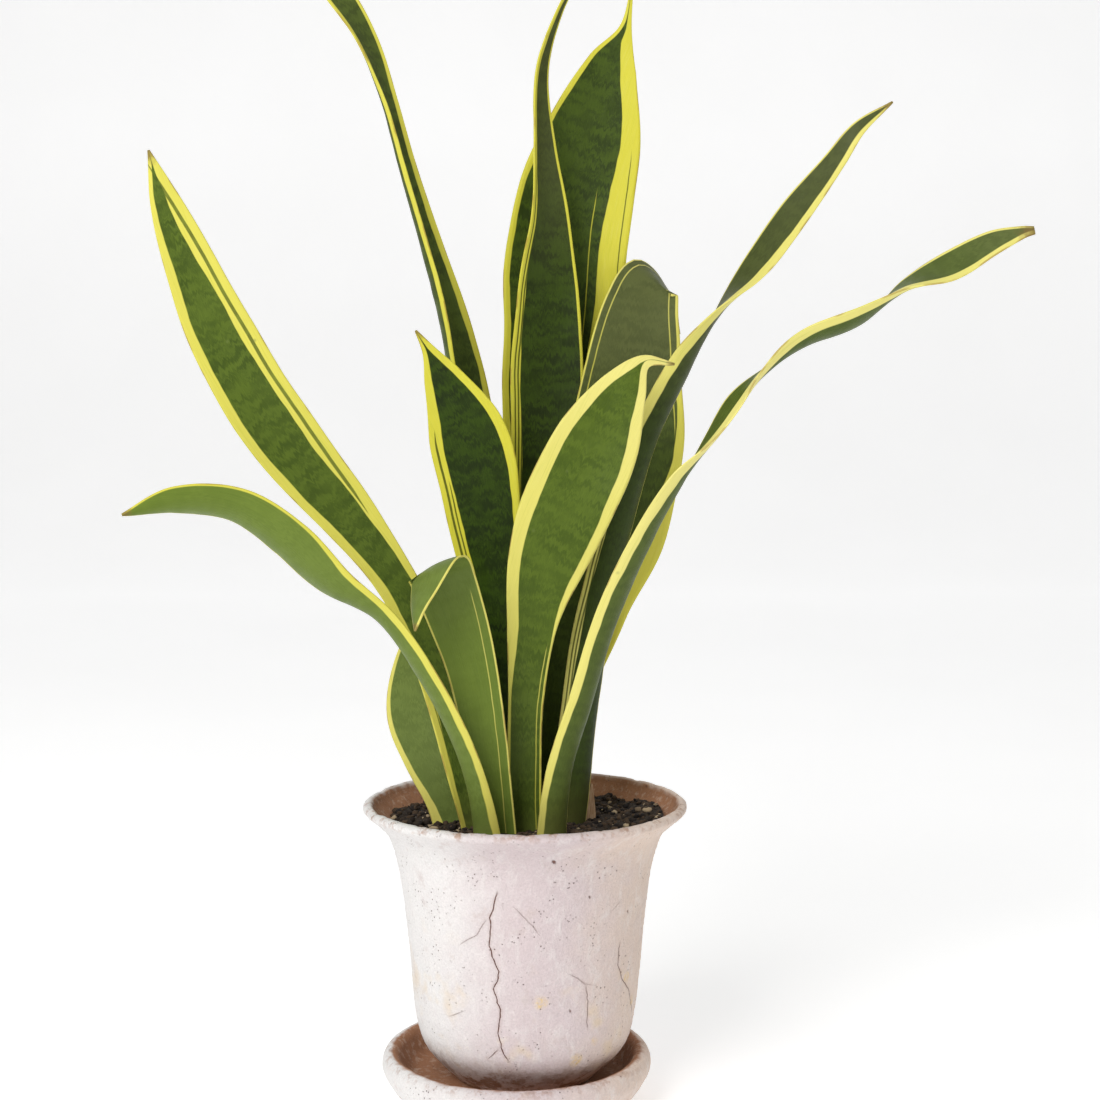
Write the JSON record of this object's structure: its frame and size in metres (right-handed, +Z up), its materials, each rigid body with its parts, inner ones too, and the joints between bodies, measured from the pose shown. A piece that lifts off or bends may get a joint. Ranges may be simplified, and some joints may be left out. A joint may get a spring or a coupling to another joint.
{
  "type": "potted snake plant",
  "caption": "Snake plant with yellow-edged sword leaves growing from soil in a flared, whitewashed clay pot that stands in a matching clay saucer.",
  "frame": {"origin": "centre of the saucer's flat underside, on the surface it stands on", "axes": "+Z up; -Y towards the plant's best side, +X to the right seen from there"},
  "size_m": [0.4474, 0.2039, 0.6514],
  "materials": {
    "saucer_clay": "matte",
    "pot_clay": "matte",
    "soil": "matte",
    "leaf": "satin",
    "dry_leaf": "matte"
  },
  "bodies": {
    "root": {"saucer": "saucer_clay", "pot": "pot_clay", "soil": "soil", "leaf_far_left": "leaf", "leaf_low_left": "leaf", "leaf_folded_tip": "leaf", "leaf_short_left": "leaf", "leaf_mid_left": "leaf", "leaf_tall_thin": "leaf", "leaf_centre_twisted": "leaf", "leaf_tall_rear": "leaf", "leaf_rear_arched": "leaf", "leaf_front_broad": "leaf", "leaf_right_upper": "leaf", "leaf_right_long": "leaf", "dry_sheath": "dry_leaf"}
  },
  "joints": []
}
